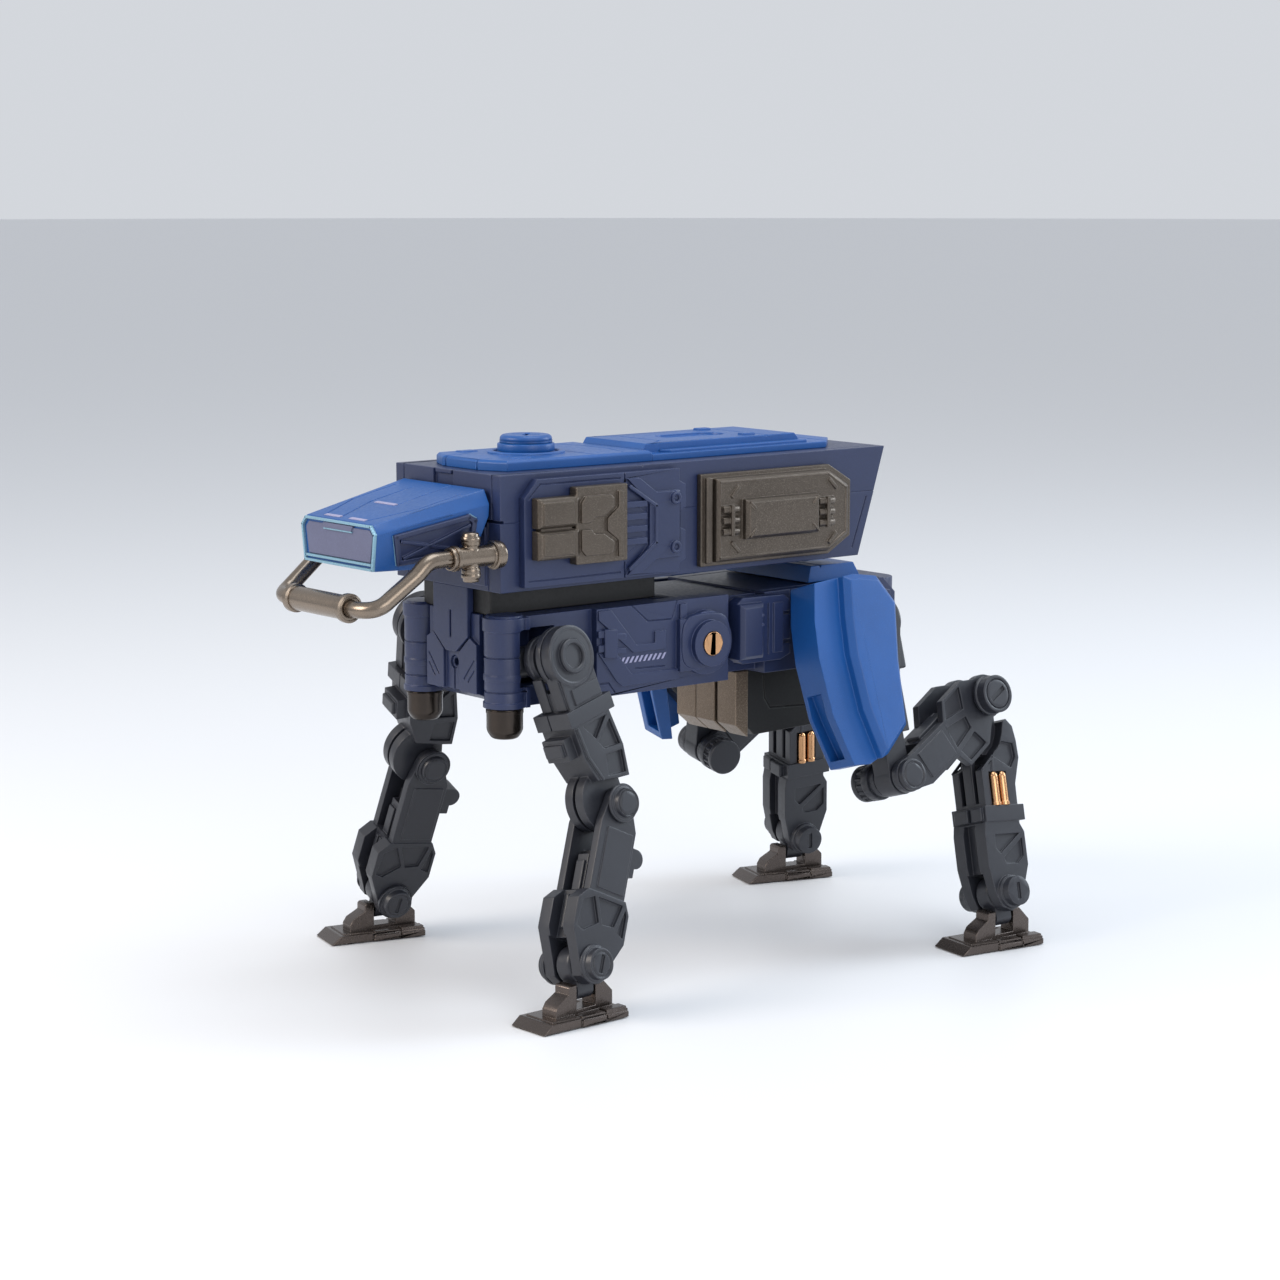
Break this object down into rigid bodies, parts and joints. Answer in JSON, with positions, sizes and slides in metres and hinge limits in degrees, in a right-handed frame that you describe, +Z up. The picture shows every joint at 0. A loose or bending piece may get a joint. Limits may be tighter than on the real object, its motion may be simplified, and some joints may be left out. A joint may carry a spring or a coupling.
{
  "type": "robot dog figure",
  "caption": "Posable four-legged robot dog figure with a boxy armoured hull, wedge head with visor and bull bar, top turret knob and jointed legs on flat plate feet.",
  "frame": {"origin": "centre of the bounding box on the ground plane, under the middle of the body", "axes": "+X towards the head, +Y the dog's left, +Z up; the soles stand on Z = 0"},
  "size_m": [0.1552, 0.1012, 0.1072],
  "materials": {
    "navy_plastic": "satin",
    "royal_blue_plastic": "satin",
    "charcoal_plastic": "satin",
    "gunmetal_paint": "metallic satin",
    "bronze_paint": "metallic grain",
    "copper": "bright",
    "silver_trim": "pale cyan silver",
    "visor_lavender": "flat",
    "black_plastic": "matt"
  },
  "bodies": {
    "chassis": {"hull_lower_shell": "navy_plastic", "hull_upper_shell": "navy_plastic", "top_plate_front": "royal_blue_plastic", "top_plate_rear": "royal_blue_plastic", "sponson_left": "navy_plastic", "sponson_right": "navy_plastic", "side_module_left": "gunmetal_paint", "side_module_right": "gunmetal_paint", "armour_box_left": "gunmetal_paint", "armour_box_right": "gunmetal_paint", "bull_bar_tube": "gunmetal_paint", "bull_bar_roller": "bronze_paint", "bull_bar_fitting_left": "gunmetal_paint", "bull_bar_fitting_right": "gunmetal_paint", "chest_block": "navy_plastic", "waist_axle": "copper", "breast_plate": "navy_plastic", "neck_column": "black_plastic", "piston_left": "gunmetal_paint", "piston_right": "gunmetal_paint"},
    "head": {"head_shell": "royal_blue_plastic", "visor": "visor_lavender", "visor_trim": "silver_trim"},
    "turret": {"turret_knob": "royal_blue_plastic"},
    "rear_body": {"rear_block": "navy_plastic", "rear_saddle": "royal_blue_plastic", "waist_arm_left": "navy_plastic", "waist_arm_right": "navy_plastic", "belly_box": "black_plastic", "belly_plates": "bronze_paint"},
    "front_left_splay_body": {"front_left_splay_knuckle": "charcoal_plastic"},
    "front_left_upper_arm_body": {"front_left_upper_arm": "charcoal_plastic"},
    "front_left_forearm_body": {"front_left_forearm": "charcoal_plastic", "front_left_forearm_pins": "charcoal_plastic"},
    "front_left_ankle_body": {"front_left_ankle_knuckle": "charcoal_plastic"},
    "front_left_foot_body": {"front_left_foot": "gunmetal_paint"},
    "front_right_splay_body": {"front_right_splay_knuckle": "charcoal_plastic"},
    "front_right_upper_arm_body": {"front_right_upper_arm": "charcoal_plastic"},
    "front_right_forearm_body": {"front_right_forearm": "charcoal_plastic", "front_right_forearm_pins": "charcoal_plastic"},
    "front_right_ankle_body": {"front_right_ankle_knuckle": "charcoal_plastic"},
    "front_right_foot_body": {"front_right_foot": "gunmetal_paint"},
    "rear_left_splay_body": {"rear_left_splay_knuckle": "charcoal_plastic"},
    "rear_left_thigh_body": {"rear_left_thigh": "charcoal_plastic", "rear_left_thigh_armour": "royal_blue_plastic"},
    "rear_left_shank_body": {"rear_left_shank": "charcoal_plastic", "rear_left_shank_pins": "charcoal_plastic"},
    "rear_left_metatarsus_body": {"rear_left_metatarsus": "charcoal_plastic", "rear_left_gas_rods": "copper"},
    "rear_left_ankle_body": {"rear_left_ankle_knuckle": "charcoal_plastic"},
    "rear_left_foot_body": {"rear_left_foot": "gunmetal_paint"},
    "rear_right_splay_body": {"rear_right_splay_knuckle": "charcoal_plastic"},
    "rear_right_thigh_body": {"rear_right_thigh": "charcoal_plastic", "rear_right_thigh_armour": "royal_blue_plastic"},
    "rear_right_shank_body": {"rear_right_shank": "charcoal_plastic", "rear_right_shank_pins": "charcoal_plastic"},
    "rear_right_metatarsus_body": {"rear_right_metatarsus": "charcoal_plastic", "rear_right_gas_rods": "copper"},
    "rear_right_ankle_body": {"rear_right_ankle_knuckle": "charcoal_plastic"},
    "rear_right_foot_body": {"rear_right_foot": "gunmetal_paint"}
  },
  "joints": [
    {"name": "head_tilt", "type": "hinge", "parent": "chassis", "child": "head", "pos_m": [0.05063, -0.00044, 0.0942], "axis": [0, 1, 0], "range_deg": [-6, 5]},
    {"name": "turret_spin", "type": "hinge", "parent": "chassis", "child": "turret", "pos_m": [0.02733, -0.00044, 0.103], "axis": [0, 0, 1], "continuous": true},
    {"name": "waist_pitch", "type": "hinge", "parent": "chassis", "child": "rear_body", "pos_m": [-0.00357, -0.00044, 0.0654], "axis": [0, 1, 0], "range_deg": [-8, 1]},
    {"name": "front_left_splay", "type": "hinge", "parent": "chassis", "child": "front_left_splay_body", "pos_m": [0.03743, 0.01256, 0.06505], "axis": [0.9925, 0.1219, 0], "range_deg": [-2, 16]},
    {"name": "front_left_shoulder_swing", "type": "hinge", "parent": "front_left_splay_body", "child": "front_left_upper_arm_body", "pos_m": [0.03642, 0.02073, 0.06673], "axis": [0.1194, -0.9725, -0.2002], "range_deg": [-22, 32]},
    {"name": "front_left_knee_bend", "type": "hinge", "parent": "front_left_upper_arm_body", "child": "front_left_forearm_body", "pos_m": [0.02862, 0.02565, 0.03818], "axis": [0.1194, -0.9725, -0.2002], "range_deg": [-39, 35]},
    {"name": "front_left_ankle_pitch", "type": "hinge", "parent": "front_left_forearm_body", "child": "front_left_ankle_body", "pos_m": [0.04134, 0.03295, 0.01031], "axis": [0.1194, -0.9725, -0.2002], "range_deg": [-30, 30]},
    {"name": "front_left_ankle_roll", "type": "hinge", "parent": "front_left_ankle_body", "child": "front_left_foot_body", "pos_m": [0.04123, 0.03386, 0.0058], "axis": [0.9925, 0.1219, 0], "range_deg": [-8, 20]},
    {"name": "front_right_splay", "type": "hinge", "parent": "chassis", "child": "front_right_splay_body", "pos_m": [0.03743, -0.01344, 0.06505], "axis": [-0.9903, 0.1392, 0], "range_deg": [-10, 9]},
    {"name": "front_right_shoulder_swing", "type": "hinge", "parent": "front_right_splay_body", "child": "front_right_upper_arm_body", "pos_m": [0.03632, -0.02129, 0.06782], "axis": [-0.1314, -0.9349, 0.3297], "range_deg": [-22, 32]},
    {"name": "front_right_knee_bend", "type": "hinge", "parent": "front_right_upper_arm_body", "child": "front_right_forearm_body", "pos_m": [0.03182, -0.03059, 0.03965], "axis": [-0.1314, -0.9349, 0.3297], "range_deg": [-13, 35]},
    {"name": "front_right_ankle_pitch", "type": "hinge", "parent": "front_right_forearm_body", "child": "front_right_ankle_body", "pos_m": [0.03424, -0.04134, 0.01014], "axis": [-0.1314, -0.9349, 0.3297], "range_deg": [-30, 30]},
    {"name": "front_right_ankle_roll", "type": "hinge", "parent": "front_right_ankle_body", "child": "front_right_foot_body", "pos_m": [0.03403, -0.04284, 0.0058], "axis": [-0.9903, 0.1392, 0], "range_deg": [-1, 27]},
    {"name": "rear_left_splay", "type": "hinge", "parent": "rear_body", "child": "rear_left_splay_body", "pos_m": [-0.04067, 0.01256, 0.0631], "axis": [0.9997, -0.0262, 0], "range_deg": [-6, 6]},
    {"name": "rear_left_hip_swing", "type": "hinge", "parent": "rear_left_splay_body", "child": "rear_left_thigh_body", "pos_m": [-0.04035, 0.02501, 0.06682], "axis": [-0.0251, -0.9579, -0.286], "range_deg": [-15, 18]},
    {"name": "rear_left_knee_bend", "type": "hinge", "parent": "rear_left_thigh_body", "child": "rear_left_shank_body", "pos_m": [-0.03983, 0.03421, 0.03596], "axis": [-0.0251, -0.9579, -0.286], "range_deg": [-5, 40]},
    {"name": "rear_left_hock_bend", "type": "hinge", "parent": "rear_left_shank_body", "child": "rear_left_metatarsus_body", "pos_m": [-0.06441, 0.03097, 0.04897], "axis": [-0.0251, -0.9579, -0.286], "range_deg": [-45, 1]},
    {"name": "rear_left_ankle_pitch", "type": "hinge", "parent": "rear_left_metatarsus_body", "child": "rear_left_ankle_body", "pos_m": [-0.06061, 0.04245, 0.01021], "axis": [-0.0251, -0.9579, -0.286], "range_deg": [-30, 30]},
    {"name": "rear_left_ankle_roll", "type": "hinge", "parent": "rear_left_ankle_body", "child": "rear_left_foot_body", "pos_m": [-0.06057, 0.04376, 0.0058], "axis": [0.9997, -0.0262, 0], "range_deg": [-3, 25]},
    {"name": "rear_right_splay", "type": "hinge", "parent": "rear_body", "child": "rear_right_splay_body", "pos_m": [-0.04067, -0.01344, 0.0631], "axis": [-0.9848, 0.1736, 0], "range_deg": [-6, 6]},
    {"name": "rear_right_hip_swing", "type": "hinge", "parent": "rear_right_splay_body", "child": "rear_right_thigh_body", "pos_m": [-0.04291, -0.02614, 0.06474], "axis": [-0.1723, -0.9769, 0.1264], "range_deg": [-15, 18]},
    {"name": "rear_right_knee_bend", "type": "hinge", "parent": "rear_right_thigh_body", "child": "rear_right_shank_body", "pos_m": [-0.04334, -0.03019, 0.0328], "axis": [-0.1723, -0.9769, 0.1264], "range_deg": [-5, 40]},
    {"name": "rear_right_hock_bend", "type": "hinge", "parent": "rear_right_shank_body", "child": "rear_right_metatarsus_body", "pos_m": [-0.06421, -0.02423, 0.05049], "axis": [-0.1723, -0.9769, 0.1264], "range_deg": [-45, 1]},
    {"name": "rear_right_ankle_pitch", "type": "hinge", "parent": "rear_right_metatarsus_body", "child": "rear_right_ankle_body", "pos_m": [-0.06847, -0.02867, 0.01036], "axis": [-0.1723, -0.9769, 0.1264], "range_deg": [-30, 30]},
    {"name": "rear_right_ankle_roll", "type": "hinge", "parent": "rear_right_ankle_body", "child": "rear_right_foot_body", "pos_m": [-0.06857, -0.02924, 0.0058], "axis": [-0.9848, 0.1736, 0], "range_deg": [-13, 15]}
  ]
}
